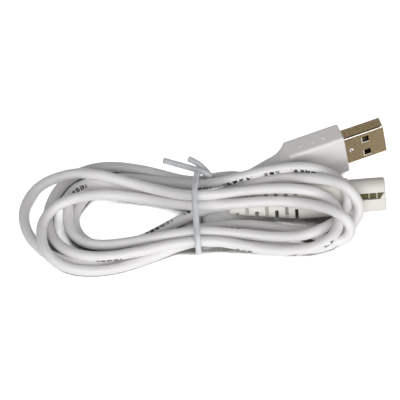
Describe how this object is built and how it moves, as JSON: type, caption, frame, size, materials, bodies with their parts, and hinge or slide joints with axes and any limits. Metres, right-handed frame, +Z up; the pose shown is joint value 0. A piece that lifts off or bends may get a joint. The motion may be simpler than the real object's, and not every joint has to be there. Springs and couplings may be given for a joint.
{
  "type": "usb charging cable",
  "caption": "White charging cable coiled into a hank under a twist tie, with a flat rectangular metal plug at one end and a slotted charging plug at the other.",
  "frame": {"origin": "middle of the bounding box's base, on the floor under the hank", "axes": "+X along the hank towards the plugs, +Y to the back, +Z up"},
  "size_m": [0.1186, 0.0539, 0.0189],
  "materials": {
    "jacket": "satin white flexible jacket",
    "cover": "satin white moulded cover",
    "shell": "plated sheet steel",
    "tongue": "black insulator",
    "contact": "gilt contact strip",
    "grip": "satin off-white",
    "tie": "white plastic over wire"
  },
  "bodies": {
    "root": {"cable": "jacket", "usb_overmould": "cover", "usb_shell": "shell", "usb_tongue": "tongue", "usb_contact_1": "contact", "usb_contact_2": "contact", "usb_contact_3": "contact", "usb_contact_4": "contact", "charge_grip": "grip", "charge_barrel": "grip", "charge_leaf": "contact", "charge_contact_upper": "contact", "charge_contact_lower": "contact", "twist_tie": "tie"}
  },
  "joints": []
}
